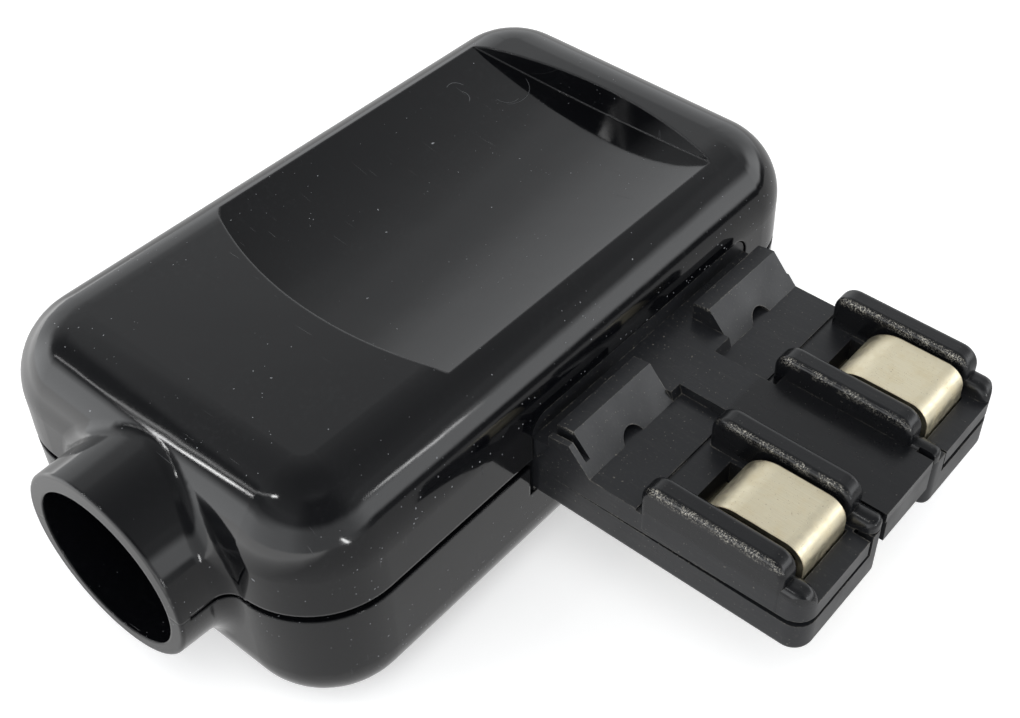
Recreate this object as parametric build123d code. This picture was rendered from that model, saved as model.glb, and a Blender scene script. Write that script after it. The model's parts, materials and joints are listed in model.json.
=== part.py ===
from build123d import *

import os
from math import radians, tan

# Angled grounded plug: a rewirable two-shell housing with a flat contact tongue at its side.
# Frame: +Z up, the housing lies along Y, the cord entry points to -Y, the tongue to +X.
# The origin is the middle of the housing's flat base.

# Housing
BODY_LENGTH = 55.0
BODY_WIDTH = 32.3
BODY_HEIGHT = 20.6
CORNER_R = 6.6
TOP_EDGE_R = 5.6
BASE_EDGE_R = 5.1
JOINT_DROP = 9.2
DRAFT = 0.8
WALL = 2.2
SEAM_HEIGHT = 0.7
SEAM_DEPTH = 0.6
LIP_THICKNESS = 0.9
LIP_HEIGHT = 1.2

# Finger scoop in the top
SCOOP_DEPTH = 2.5
SCOOP_WIDTH = 25.4
SCOOP_NEAR_Y = -12.3
SCOOP_FAR_Y = 20.9
SCOOP_BOW = 2.4
SCOOP_CREST_X = 2.0
SCOOP_LEFT_BOW = 3.6
SCOOP_RIGHT_BOW = 2.0
SCOOP_LEFT_R = 3.0
SCOOP_CORNER_R = 1.5
ROOF = 1.7

# Cord entry and cord clamp
BORE_R = 6.15
BORE_DROP = 0.25
COLLAR_X = 0.6
COLLAR_DROP = 0.05
COLLAR_WALL = 1.2
COLLAR_LENGTH = 3.8
COLLAR_FLARE = 0.25
COLLAR_FILLET = 1.6
COLLAR_RIM_R = 0.25
GROOVE_HEIGHT = 0.4
GROOVE_DEPTH = 0.2
GROOVE_MARGIN = 0.8
CORD_R = 4.6
CLAMP_INSET = 6.9
CLAMP_WIDTH = 5.0
CLAMP_THICKNESS = 1.5
CLAMP_SCREW_PITCH = 18.0
CLAMP_BOSS_R = 2.6
CLAMP_SEAT_DROP = 2.6

# Tongue
TONGUE_WIDTH = 25.3
TONGUE_MID_Y = 5.85
TONGUE_DROP = 12.5
SPLIT_RISE = 2.7
BAY_RISE = 4.65
PLATFORM_RISE = 4.85
PLATEAU_RISE = 5.65
BLOCK_RISE = 7.2
BLOCK_CORNER_R = 1.4
ROOT_LENGTH = 12.7
FLANGE_THICKNESS = 1.1
FLANGE_RIM = 1.0
FLANGE_RISE = 0.7
PLATFORM_LENGTH = 8.8
PLATEAU_WIDTH = 4.3
SIDE_GAP = 0.5
SPLIT_GAP = 0.5
SPLIT_GAP_FAR = 0.65
SPLIT_GAP_DEPTH = 0.5

# Tip of the tongue
TIP_MARGIN = 1.85
TIP_PLAN_R = 1.5
TIP_BASE_R = 0.6
POST_DEPTH = 1.2
POST_EDGE_R = 0.8
POST_SLIT = 0.45
NOTCH_DEPTH = 2.5
END_GAP_DEPTH = 1.2
LEDGE_RISE = 5.9
LEDGE_END_R = 1.2
LEDGE_EDGE_R = 0.6
RIDGE_RISE = 5.85
RIDGE_R = 0.85
RIDGE_END_R = 0.45

# Contact bays and their guard ribs
BAY_PITCH = 15.7
BAY_WIDTH = 6.2
RIB_WIDTH = 1.75
RIB_RISE = 7.7
RIB_START = 9.05
RIB_END_MARGIN = 1.9
RIB_END_R = 1.4
RIB_EDGE_R = 0.45

# Ramps behind the bays
RAMP_WIDTH = 8.5
RAMP_OFFSET = 0.4
RAMP_BACK = 1.25
RAMP_CREST = 2.65
RAMP_FOOT = 4.85
RAMP_RISE = 7.3
RAMP_BACK_DROP = 0.2
SHOULDER_RUN = 0.25
POCKET_R = 1.1
POCKET_DROP = 0.38
POCKET_OFFSET = 0.15
CHEEK_WIDTH = 0.5
CHEEK_DROP = 0.4

# Contact strips
STRIP_WIDTH = 5.15
STRIP_THICKNESS = 0.5
STRIP_REACH = 20.45
STRIP_RISE = 7.2
ARCH_LENGTH = 9.1
ARCH_RISE_RUN = 1.8
EARTH_WIDTH = 3.9
EARTH_CHANNEL = 1.6
EARTH_ARCH_DEPTH = 2.0
OPENING_LENGTH = 9.4

# Terminals
TERMINAL_PITCH = 7.85
TERMINAL_LENGTH = 7.0
TERMINAL_WIDTH = 5.6
TERMINAL_HEIGHT = 4.8
WIRE_HOLE_R = 1.4
WIRE_HOLE_RISE = 2.1
TRAY_FLOOR = 1.2
TRAY_WALL = 1.4
BARRIER_HEIGHT = 2.3

# Screws
SCREW_R = 1.5
SCREW_HEAD_R = 2.6
SCREW_HEAD_HEIGHT = 1.9
SLOT_WIDTH = 0.7
SLOT_DEPTH = 0.9
HOUSING_BOSS_R = 3.3
HOUSING_SCREW_INSET = 5.95
FRONT_SCREW_INSET = 13.9
REAR_SCREW_INSET = 5.9
HEAD_RECESS = 0.6
INSERT_R = 2.1
INSERT_LENGTH = 3.6
PILOT_R = 1.1
PILOT_HEAD_R = 1.9
PILOT_HEAD_HEIGHT = 1.2
PILOT_SCREW_X = 6.6
PILOT_END_COVER = 0.9

# Clearances
FIT = 0.15
SCREW_FIT = 0.1
SCREW_GAP = 0.3

# Places worked out from the sizes above
WALL_X = BODY_WIDTH / 2
INNER_X = WALL_X - WALL
FRONT_Y = -BODY_LENGTH / 2
JOINT_Z = BODY_HEIGHT - JOINT_DROP
CORD_Z = JOINT_Z - BORE_DROP
COLLAR_Z = JOINT_Z - COLLAR_DROP
COLLAR_R = BORE_R + COLLAR_WALL
RIM_Y = FRONT_Y - COLLAR_LENGTH
TONGUE_BASE_Z = BODY_HEIGHT - TONGUE_DROP
SPLIT_Z = TONGUE_BASE_Z + SPLIT_RISE
BAY_Z = TONGUE_BASE_Z + BAY_RISE
PLATFORM_Z = TONGUE_BASE_Z + PLATFORM_RISE
PLATEAU_Z = TONGUE_BASE_Z + PLATEAU_RISE
BLOCK_TOP_Z = TONGUE_BASE_Z + BLOCK_RISE
RIB_TOP_Z = TONGUE_BASE_Z + RIB_RISE
LEDGE_Z = TONGUE_BASE_Z + LEDGE_RISE
RIDGE_Z = TONGUE_BASE_Z + RIDGE_RISE
RAMP_TOP_Z = TONGUE_BASE_Z + RAMP_RISE
STRIP_TOP_Z = TONGUE_BASE_Z + STRIP_RISE
TIP_X = WALL_X + STRIP_REACH + TIP_MARGIN
ROOT_X = WALL_X - ROOT_LENGTH
FLANGE_X = INNER_X - 2 * FIT - FLANGE_THICKNESS
TONGUE_Y0 = TONGUE_MID_Y - TONGUE_WIDTH / 2
TONGUE_Y1 = TONGUE_MID_Y + TONGUE_WIDTH / 2
BAY_YS = (TONGUE_MID_Y - BAY_PITCH / 2, TONGUE_MID_Y + BAY_PITCH / 2)
PLATFORM_X = WALL_X + PLATFORM_LENGTH
RAMP_FOOT_X = WALL_X + RAMP_FOOT
RIB_X0 = WALL_X + RIB_START
RIB_X1 = TIP_X - RIB_END_MARGIN
ARCH_X1 = WALL_X + STRIP_REACH
ARCH_X0 = ARCH_X1 - ARCH_LENGTH
OPENING_X0 = ARCH_X0 - FIT
TERMINAL_YS = tuple(TONGUE_MID_Y + step * TERMINAL_PITCH for step in (-1, 0, 1))
BARRIER_YS = tuple(y + TERMINAL_PITCH / 2 for y in TERMINAL_YS[:2])
STRIP_Z = SPLIT_Z - STRIP_THICKNESS / 2
TERMINAL_TOP = SPLIT_Z - STRIP_THICKNESS
TERMINAL_BASE = TERMINAL_TOP - TERMINAL_HEIGHT
TERMINAL_X1 = ROOT_X - TRAY_WALL - FIT
TERMINAL_X0 = TERMINAL_X1 - TERMINAL_LENGTH
TERMINAL_MID_X = (TERMINAL_X0 + TERMINAL_X1) / 2
TRAY_BASE = TERMINAL_BASE - TRAY_FLOOR
CAVITY_TOP = BODY_HEIGHT - SCOOP_DEPTH - ROOF
CLAMP_Y = FRONT_Y + CLAMP_INSET
CLAMP_SEAT = CORD_Z - CLAMP_SEAT_DROP
HOUSING_SCREW_X = WALL_X - HOUSING_SCREW_INSET
FRONT_SCREW = (HOUSING_SCREW_X, FRONT_Y + FRONT_SCREW_INSET)
REAR_SCREW = (-HOUSING_SCREW_X, BODY_LENGTH / 2 - REAR_SCREW_INSET)
HOUSING_SCREWS = (FRONT_SCREW, REAR_SCREW)
CLAMP_SCREWS = tuple((COLLAR_X + side * CLAMP_SCREW_PITCH / 2, CLAMP_Y) for side in (-1, 1))
PILOT_SCREWS = tuple((WALL_X - PILOT_SCREW_X, (TERMINAL_YS[i] + TERMINAL_YS[i + 1]) / 2) for i in (0, 1))
SCREW_SIZE = (SCREW_R, SCREW_HEAD_R, SCREW_HEAD_HEIGHT)
PILOT_SIZE = (PILOT_R, PILOT_HEAD_R, PILOT_HEAD_HEIGHT)
INSERT_Z = JOINT_Z + LIP_HEIGHT
EARTH_CEILING = TONGUE_BASE_Z + EARTH_CHANNEL
EARTH_DROP_X = WALL_X + RAMP_FOOT


def block(x0, x1, y0, y1, z0, z1):
    """Return a box between two corners."""
    size = Box(x1 - x0, y1 - y0, z1 - z0)
    return Pos((x0 + x1) / 2, (y0 + y1) / 2, (z0 + z1) / 2) * size


def rod(x, y, z0, z1, radius):
    """Return an upright cylinder."""
    return Pos(x, y, (z0 + z1) / 2) * Cylinder(radius, z1 - z0)


def side_profile(points, y0, y1):
    """Return a prism of an X-Z outline, reaching from y0 to y1."""
    face = make_face(Polyline(*[(x, y0, z) for x, z in points], close=True))
    return extrude(face, amount=y1 - y0, dir=(0, 1, 0))


def half_housing(height, edge_r, inset):
    """Return one tapered half of the housing's outer form, its joint face on z = 0."""
    width, length = BODY_WIDTH - 2 * inset, BODY_LENGTH - 2 * inset
    outline = RectangleRounded(width, length, CORNER_R - inset)
    half = extrude(outline, amount=height - inset, taper=DRAFT)
    rim = half.faces().sort_by(Axis.Z)[-1].edges()
    return fillet(rim, edge_r - inset)


def lifted(half):
    """Return an upper half in its place."""
    return Pos(0, 0, JOINT_Z) * half


def turned(half):
    """Return a lower half in its place."""
    return Pos(0, 0, JOINT_Z) * mirror(half, about=Plane.XY)


def ring(outer_inset, inner_inset, z0, z1):
    """Return a band that follows the housing's outline between two insets."""
    bands = []
    for inset in (outer_inset, inner_inset):
        outline = RectangleRounded(BODY_WIDTH - 2 * inset, BODY_LENGTH - 2 * inset, CORNER_R - inset)
        bands.append(extrude(outline, amount=z1 - z0))
    return Pos(0, 0, z0) * (bands[0] - bands[1])


def screw(x, y, head_z, tip_z, size, downward):
    """Return a slotted screw whose head rests on head_z and whose shank ends at tip_z."""
    radius, head_r, head_height = size
    way = 1 if downward else -1
    crown = head_z + way * head_height
    low, high = sorted((head_z, crown))
    head = rod(x, y, low, high, head_r)
    rim = head.edges().sort_by(Axis.Z)[-1 if downward else 0]
    head = fillet(rim, head_height * 0.4)
    low, high = sorted((tip_z, head_z))
    shank = rod(x, y, low, high, radius)
    end = shank.edges().sort_by(Axis.Z)[0 if downward else -1]
    shank = chamfer(end, radius * 0.3)
    slot = Pos(x, y, crown) * Box(2 * head_r + 1, SLOT_WIDTH, 2 * SLOT_DEPTH)
    return head + shank - slot


def collar(inside):
    """Return the whole cord collar, or the bore that runs through it and the wall."""
    root_y = FRONT_Y + WALL
    if inside:
        tube, axis_z = Cylinder(BORE_R, root_y - RIM_Y + 2), CORD_Z
    else:
        tube, axis_z = Cone(COLLAR_R + COLLAR_FLARE, COLLAR_R, root_y - RIM_Y), COLLAR_Z
    return Pos(COLLAR_X, (RIM_Y + root_y) / 2, axis_z) * Rot(90, 0, 0) * tube


def with_collar(half, z0, z1):
    """Return a housing half joined to its half of the collar, with a filleted root."""
    joined = half + (collar(False) & block(-WALL_X, WALL_X, -BODY_LENGTH, 0, z0, z1))
    root, rim = [], []
    for edge in joined.edges():
        points = [edge @ part for part in (0.05, 0.5, 0.95)]
        spread = [(point.X - COLLAR_X) ** 2 + (point.Z - COLLAR_Z) ** 2 for point in points]
        reach = [square ** 0.5 - COLLAR_R for square in spread]
        on_collar = min(reach) > -0.01 and max(reach) < 2 * COLLAR_FLARE
        if on_collar and min(point.Y for point in points) > FRONT_Y - COLLAR_LENGTH / 2:
            root.append(edge)
        if on_collar and max(point.Y for point in points) < RIM_Y + COLLAR_RIM_R / 2:
            rim.append(edge)
    side_room = WALL_X - CORNER_R - COLLAR_X - COLLAR_R - COLLAR_FLARE
    base_room = (COLLAR_Z - COLLAR_R - COLLAR_FLARE) / 2
    joined = fillet(root, min(COLLAR_FILLET, side_room, base_room))
    rim = [edge for edge in joined.edges() if any((edge @ 0.5 - old @ 0.5).length < 0.01 for old in rim)]
    return fillet(rim, COLLAR_RIM_R)


def seam():
    """Return the groove along the joint, which is finer along the collar."""
    reach = COLLAR_R + COLLAR_FLARE + COLLAR_FILLET
    band = ring(0, SEAM_DEPTH, JOINT_Z - SEAM_HEIGHT / 2, JOINT_Z + SEAM_HEIGHT / 2)
    band -= block(COLLAR_X - reach, COLLAR_X + reach, -BODY_LENGTH, 0, 0, BODY_HEIGHT)
    z0, z1 = JOINT_Z - GROOVE_HEIGHT / 2, JOINT_Z + GROOVE_HEIGHT / 2
    y0, y1 = RIM_Y + GROOVE_MARGIN, FRONT_Y + SEAM_DEPTH
    fine = block(COLLAR_X - reach, COLLAR_X + reach, y0, y1, z0, z1)
    core = Rot(90, 0, 0) * Cylinder(COLLAR_R - GROOVE_DEPTH, 3 * COLLAR_LENGTH)
    return band + (fine - Pos(COLLAR_X, FRONT_Y, COLLAR_Z) * core)


def scoop():
    """Return the shallow trough that the finger scoop takes out of the top."""
    half = SCOOP_WIDTH / 2
    top = BODY_HEIGHT
    near_y, far_y = SCOOP_NEAR_Y, SCOOP_FAR_Y
    left, right = (-half, near_y + SCOOP_LEFT_BOW), (half, near_y + SCOOP_RIGHT_BOW)
    near = ThreePointArc(left, (SCOOP_CREST_X, near_y), right)
    far = ThreePointArc((half, far_y - SCOOP_BOW), (0, far_y), (-half, far_y - SCOOP_BOW))
    sides = [Line(near @ 1, far @ 0), Line(far @ 1, near @ 0)]
    outline = make_face([near, sides[0], far, sides[1]])
    outline = fillet(outline.vertices().sort_by(Axis.Y)[1], SCOOP_LEFT_R)
    corners = outline.vertices().sort_by(Axis.Y)
    outline = fillet([corners[0], corners[-2], corners[-1]], SCOOP_CORNER_R)
    prism = Pos(0, 0, top - 2 * SCOOP_DEPTH) * extrude(outline, amount=3 * SCOOP_DEPTH)
    trough_r = (half ** 2 + SCOOP_DEPTH ** 2) / (2 * SCOOP_DEPTH)
    trough = Pos(0, 0, top - SCOOP_DEPTH + trough_r) * Rot(90, 0, 0) * Cylinder(trough_r, 2 * BODY_LENGTH)
    return prism & trough


def window(gap, top_gap):
    """Return the opening for the tongue in the housing's side wall."""
    y0, y1 = TONGUE_Y0 - gap, TONGUE_Y1 + gap
    z0, z1 = TONGUE_BASE_Z, BLOCK_TOP_Z + top_gap
    hole = block(INNER_X - 1, WALL_X + 1, y0, y1, z0, z1)
    corners = hole.edges().filter_by(Axis.X).group_by(Axis.Z)[-1]
    return fillet(corners, BLOCK_CORNER_R + top_gap)


def make_upper_shell():
    """Return the upper shell with its scoop, bosses and hold-down ribs."""
    shell = lifted(half_housing(BODY_HEIGHT - JOINT_Z, TOP_EDGE_R, 0))
    shell = with_collar(shell, JOINT_Z, BODY_HEIGHT)
    cavity = lifted(half_housing(BODY_HEIGHT - JOINT_Z, TOP_EDGE_R, WALL))
    shell -= cavity - block(-WALL_X, WALL_X, SCOOP_NEAR_Y - WALL, BODY_LENGTH / 2, CAVITY_TOP, BODY_HEIGHT)
    for x, y in HOUSING_SCREWS:
        shell += rod(x, y, JOINT_Z + LIP_HEIGHT, CAVITY_TOP + 0.5, HOUSING_BOSS_R)
    x0, x1, wide = ROOT_X + TRAY_WALL, FLANGE_X - SIDE_GAP, RIB_WIDTH / 2
    for y in BARRIER_YS:
        shell += block(x0, x1, y - wide, y + wide, PLATEAU_Z, CAVITY_TOP + 0.5)
    shell -= scoop()
    shell -= seam()
    lip_inset = WALL - LIP_THICKNESS - FIT
    shell -= ring(lip_inset, WALL + 1, JOINT_Z - 1, JOINT_Z + LIP_HEIGHT + FIT) - collar(False)
    shell -= collar(True)
    shell -= window(FIT, FIT)
    for x, y in HOUSING_SCREWS:
        top = INSERT_Z + INSERT_LENGTH
        shell -= rod(x, y, JOINT_Z - 1, top, INSERT_R)
    return shell


def make_lower_shell():
    """Return the lower shell with its lip, screw bosses, cradle and clamp seats."""
    shell = turned(half_housing(JOINT_Z, BASE_EDGE_R, 0))
    shell = with_collar(shell, 0, JOINT_Z)
    shell -= turned(half_housing(JOINT_Z, BASE_EDGE_R, WALL))
    shell -= seam()
    for x, y in HOUSING_SCREWS:
        shell += rod(x, y, WALL / 2, JOINT_Z + LIP_HEIGHT, HOUSING_BOSS_R)
    for x, y in CLAMP_SCREWS:
        shell += rod(x, y, WALL / 2, CLAMP_SEAT, CLAMP_BOSS_R)
    lip = ring(WALL - LIP_THICKNESS, WALL, JOINT_Z - 1, JOINT_Z + LIP_HEIGHT)
    shell += lip - collar(False)
    y0, y1 = CLAMP_Y - WALL / 2, CLAMP_Y + WALL / 2
    reach = CORD_R + WALL
    saddle = block(COLLAR_X - reach, COLLAR_X + reach, y0, y1, WALL / 2, CLAMP_SEAT)
    groove = Pos(COLLAR_X, CLAMP_Y, CORD_Z) * Rot(90, 0, 0) * Cylinder(CORD_R, CLAMP_WIDTH)
    shell += saddle - groove
    for x in (TERMINAL_X0 + TRAY_WALL, TERMINAL_X1):
        y0, y1 = TONGUE_Y0 + WALL, TONGUE_Y1 - WALL
        shell += block(x - RIB_WIDTH / 2, x + RIB_WIDTH / 2, y0, y1, WALL / 2, TRAY_BASE)
    rest_x, wide = (ROOT_X + FLANGE_X) / 2 + WALL, RIB_WIDTH / 2
    shell += block(rest_x - wide, rest_x + wide, TONGUE_Y0, TONGUE_Y1, WALL / 2, TONGUE_BASE_Z)
    shell -= collar(True)
    shell -= window(SIDE_GAP, FIT)
    for x, y in HOUSING_SCREWS:
        seat = HEAD_RECESS + SCREW_HEAD_HEIGHT
        shell -= rod(x, y, -1, seat, SCREW_HEAD_R + FIT)
        shell -= rod(x, y, -1, JOINT_Z + LIP_HEIGHT + 1, SCREW_R + FIT)
    for x, y in CLAMP_SCREWS:
        shell -= rod(x, y, WALL, CLAMP_SEAT + 1, SCREW_R + SCREW_FIT)
    return shell


def rib(y0, y1):
    """Return one guard rib with rounded ends and edges."""
    foot = SPLIT_Z + SPLIT_GAP
    points = [(RIB_X0, foot), (RIB_X0, RIB_TOP_Z), (RIB_X1, RIB_TOP_Z), (RIB_X1, foot)]
    bar = side_profile(points, y0, y1)
    ends = bar.edges().filter_by(Axis.Y).group_by(Axis.Z)[-1]
    bar = fillet(ends, RIB_END_R)
    base = bar.faces().sort_by(Axis.Z)[0].edges()
    soft = [edge for edge in bar.edges().filter_by(Axis.Y, reverse=True) if edge not in base]
    return fillet(soft, RIB_EDGE_R)


def rib_spans():
    """Return the Y range of each guard rib, two beside each contact bay."""
    spans = []
    for mid in BAY_YS:
        spans.append((mid - BAY_WIDTH / 2 - RIB_WIDTH, mid - BAY_WIDTH / 2))
        spans.append((mid + BAY_WIDTH / 2, mid + BAY_WIDTH / 2 + RIB_WIDTH))
    return spans


def root_block(z0, z1, flange_z0, flange_z1):
    """Return the part of one insert half that sits in the window, with its inner flange."""
    plug = block(ROOT_X + TRAY_WALL, WALL_X - FIT, TONGUE_Y0, TONGUE_Y1, z0, z1)
    y0, y1 = TONGUE_Y0 - FLANGE_RIM, TONGUE_Y1 + FLANGE_RIM
    return plug + block(FLANGE_X, FLANGE_X + FLANGE_THICKNESS, y0, y1, flange_z0, flange_z1)


def ramp(y0, y1, drop):
    """Return a ramp that stands behind a contact bay, its top lowered by the given drop."""
    back, top = WALL_X + RAMP_BACK, RAMP_TOP_Z - drop
    slope = (RAMP_FOOT - RAMP_CREST) / (RAMP_TOP_Z - PLATFORM_Z)
    crest = WALL_X + RAMP_CREST + drop * slope
    points = [(back, SPLIT_Z), (back, top - RAMP_BACK_DROP), (crest, top)]
    points += [(RAMP_FOOT_X, PLATFORM_Z), (RAMP_FOOT_X, SPLIT_Z)]
    return side_profile(points, y0, y1)


def tip_ridge(y0, y1, top, end_r, edge_r):
    """Return a low rounded bar that runs from the end of a rib to the end of the tongue."""
    bar = block(RIB_X1 - 1, TIP_X, y0, y1, SPLIT_Z + SPLIT_GAP_FAR, top)
    bar = fillet(bar.faces().sort_by(Axis.Z)[-1].edges().sort_by(Axis.X)[-1], end_r)
    sides = bar.faces().sort_by(Axis.Z)[-1].edges().filter_by(Axis.X)
    return fillet(sides, edge_r)


def tip_posts():
    """Return the Y range of the two posts at the tongue's end that locate the upper half."""
    spans = rib_spans()
    return ((spans[1][0] + POST_SLIT / 2, spans[1][1]), (spans[2][0] + POST_SLIT, spans[2][1] + 2 * FIT))


def make_tongue_upper():
    """Return the upper half of the contact insert: root, ramps, bays, ribs and tip."""
    y0, y1, mid = TONGUE_Y0, TONGUE_Y1, TONGUE_MID_Y
    outline = block(WALL_X - 1, TIP_X, y0, y1, 0, BODY_HEIGHT)
    outline = fillet(outline.edges().filter_by(Axis.Z).group_by(Axis.X)[-1], TIP_PLAN_R)
    half = outline & block(WALL_X - 1, TIP_X, y0, y1, SPLIT_Z, BAY_Z)
    half += root_block(SPLIT_Z, PLATEAU_Z, SPLIT_Z, BLOCK_TOP_Z + FLANGE_RISE)
    face = block(FLANGE_X, WALL_X - FIT, y0, y1, SPLIT_Z, BLOCK_TOP_Z)
    top_corners = face.edges().filter_by(Axis.X).group_by(Axis.Z)[-1]
    half += fillet(top_corners, BLOCK_CORNER_R)
    slope = (RAMP_FOOT - RAMP_CREST) / (RAMP_TOP_Z - PLATFORM_Z)
    step_x = RAMP_FOOT_X - (PLATEAU_Z - PLATFORM_Z) * slope
    shoulder = [(WALL_X - 1, SPLIT_Z), (WALL_X - 1, PLATEAU_Z), (step_x, PLATEAU_Z)]
    shoulder += [(RAMP_FOOT_X, PLATFORM_Z), (PLATFORM_X, PLATFORM_Z), (PLATFORM_X, SPLIT_Z)]
    half += side_profile(shoulder, y0, y1)
    spans = rib_spans()
    narrow = PLATEAU_WIDTH / 2
    half += block(WALL_X - 1, RIB_X0 + 1, mid - narrow, mid + narrow, SPLIT_Z, PLATEAU_Z)
    edge = RAMP_FOOT_X - SHOULDER_RUN
    step = [(WALL_X - 1, SPLIT_Z), (WALL_X - 1, PLATEAU_Z), (edge, PLATEAU_Z), (RAMP_FOOT_X, PLATFORM_Z)]
    low, high = (bay + RAMP_OFFSET + side * RAMP_WIDTH / 2 for bay, side in zip(BAY_YS, (1, -1)))
    half += side_profile(step + [(RAMP_FOOT_X, SPLIT_Z)], low, high)
    half += block(RIB_X0 + RIB_WIDTH / 2, TIP_X, spans[1][1] - 0.1, spans[2][0] + 0.1, SPLIT_Z, PLATEAU_Z)
    for span in spans:
        half += rib(*span)
    for bay in BAY_YS:
        centre = bay + RAMP_OFFSET
        half += ramp(centre - RAMP_WIDTH / 2, centre + RAMP_WIDTH / 2, 0)
        foot = Pos(RAMP_FOOT_X, bay + POCKET_OFFSET, PLATFORM_Z - POCKET_DROP)
        pocket = foot * Rot(0, 90, 0) * Cylinder(POCKET_R, RAMP_FOOT - RAMP_BACK)
        half -= pocket & block(0, RAMP_FOOT_X, y0, y1, PLATFORM_Z, BODY_HEIGHT)
    half += ramp(y0, y0 + CHEEK_WIDTH, CHEEK_DROP)
    for low, high in ((y0, spans[0][1]), (spans[3][0], y1)):
        half += outline & tip_ridge(low, high, LEDGE_Z, LEDGE_END_R, LEDGE_EDGE_R)
    for span in spans[1:3]:
        half += tip_ridge(*span, RIDGE_Z, RIDGE_END_R, RIDGE_R)
    for bay in BAY_YS:
        wide = STRIP_WIDTH / 2 + FIT
        half -= block(OPENING_X0, ARCH_X1 + FIT, bay - wide, bay + wide, SPLIT_Z - 1, BODY_HEIGHT)
    near_post, far_post = tip_posts()
    back = TIP_X - POST_DEPTH - FIT
    half -= block(back, TIP_X + 1, near_post[0] - POST_SLIT, near_post[1] + FIT, SPLIT_Z - 1, BAY_Z + FIT)
    half -= block(back, TIP_X + 1, far_post[0] - POST_SLIT, far_post[1] + FIT, SPLIT_Z - 1, BAY_Z + FIT)
    half -= block(back, TIP_X + 1, far_post[0] - POST_SLIT, far_post[0], SPLIT_Z - 1, PLATEAU_Z + 1)
    reveal = [(WALL_X + 2, SPLIT_Z), (TIP_X + 1, SPLIT_Z - 0.1), (TIP_X + 1, SPLIT_Z + SPLIT_GAP)]
    for low, high in ((y0 - 1, y0 + SPLIT_GAP_DEPTH), (y1 - SPLIT_GAP_DEPTH, y1 + 1)):
        half -= side_profile(reveal, low, high)
    for low, high, gap in ((y0 - 1, near_post[0], SPLIT_GAP), (far_post[1], y1 + 1, SPLIT_GAP_FAR)):
        half -= block(TIP_X - END_GAP_DEPTH, TIP_X + 1, low, high, SPLIT_Z - 1, SPLIT_Z + gap)
    for x, y in PILOT_SCREWS:
        half -= rod(x, y, SPLIT_Z - 1, PLATEAU_Z - PILOT_END_COVER, PILOT_R + SCREW_FIT)
    return half


def make_tongue_lower():
    """Return the lower half of the contact insert with strip channels and terminal tray."""
    y0, y1 = TONGUE_Y0, TONGUE_Y1
    half = block(WALL_X - 1, TIP_X, y0, y1, TONGUE_BASE_Z, SPLIT_Z)
    near_post, far_post = tip_posts()
    for low, high in (near_post, far_post):
        half += block(TIP_X - POST_DEPTH, TIP_X, low, high, SPLIT_Z - 1, BAY_Z)
    notch_x = TIP_X - NOTCH_DEPTH
    half -= block(notch_x, TIP_X + 1, near_post[1], far_post[0], TONGUE_BASE_Z - 1, BODY_HEIGHT)
    uprights = half.edges().filter_by(Axis.Z).group_by(Axis.X)[-1].sort_by(Axis.Y)
    tall = [edge for edge in uprights[1:-1] if edge.length > BAY_RISE - SPLIT_GAP]
    half = fillet([uprights[0], uprights[-1]], TIP_PLAN_R)
    tall = [edge for edge in half.edges() if any((edge @ 0.5 - old @ 0.5).length < 0.01 for old in tall)]
    half = fillet(tall, POST_EDGE_R)
    base = half.faces().sort_by(Axis.Z)[0].edges().filter_by(Axis.Y).group_by(Axis.X)[-1]
    half = fillet(base, TIP_BASE_R)
    half += root_block(TONGUE_BASE_Z, SPLIT_Z, TONGUE_BASE_Z - FLANGE_RISE, SPLIT_Z)
    tray_y = TERMINAL_PITCH + TERMINAL_WIDTH / 2 + FIT + TRAY_WALL
    tray_x0 = TERMINAL_X0 - FIT - TRAY_WALL
    low, high = TONGUE_MID_Y - tray_y, TONGUE_MID_Y + tray_y
    half += block(tray_x0, ROOT_X + 2 * TRAY_WALL, low, high, TRAY_BASE, SPLIT_Z)
    for y in TERMINAL_YS:
        wide = TERMINAL_WIDTH / 2 + FIT
        half -= block(TERMINAL_X0 - FIT, TERMINAL_X1 + FIT, y - wide, y + wide, TERMINAL_BASE, SPLIT_Z + 1)
        mouth = Pos(tray_x0, y, TERMINAL_BASE + WIRE_HOLE_RISE) * Rot(0, 90, 0)
        half -= mouth * Cylinder(WIRE_HOLE_R + SIDE_GAP, 4 * TRAY_WALL)
    thin, top = (TERMINAL_PITCH - TERMINAL_WIDTH) / 2 - FIT, SPLIT_Z + BARRIER_HEIGHT
    for y in BARRIER_YS:
        half += block(tray_x0, TERMINAL_X1 + FIT, y - thin, y + thin, SPLIT_Z - 1, top)
    for bay in BAY_YS:
        wide = STRIP_WIDTH / 2 + FIT
        half -= block(TERMINAL_X1, OPENING_X0 + 1, bay - wide, bay + wide, TERMINAL_TOP, SPLIT_Z + 1)
        tail_z = SPLIT_Z - 2 * STRIP_THICKNESS
        half -= block(OPENING_X0, ARCH_X1 + FIT, bay - wide, bay + wide, tail_z, SPLIT_Z + 1)
    mid, wide = TONGUE_MID_Y, EARTH_WIDTH / 2 + FIT
    half -= block(TERMINAL_X1, EARTH_DROP_X + FIT, mid - wide, mid + wide, TERMINAL_TOP, SPLIT_Z + 1)
    drop_x = EARTH_DROP_X - STRIP_THICKNESS - FIT
    half -= block(drop_x, EARTH_DROP_X + FIT, mid - wide, mid + wide, TONGUE_BASE_Z - 1, SPLIT_Z + 1)
    half -= block(drop_x, TIP_X + 1, mid - wide - 0.4, mid + wide + 0.4, TONGUE_BASE_Z - 1, EARTH_CEILING)
    for x, y in PILOT_SCREWS:
        half -= rod(x, y, TONGUE_BASE_Z - 1, SPLIT_Z + 1, PILOT_R + SCREW_FIT)
        half -= rod(x, y, TONGUE_BASE_Z - 1, TONGUE_BASE_Z + PILOT_HEAD_HEIGHT, PILOT_HEAD_R + FIT)
    return half


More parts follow.
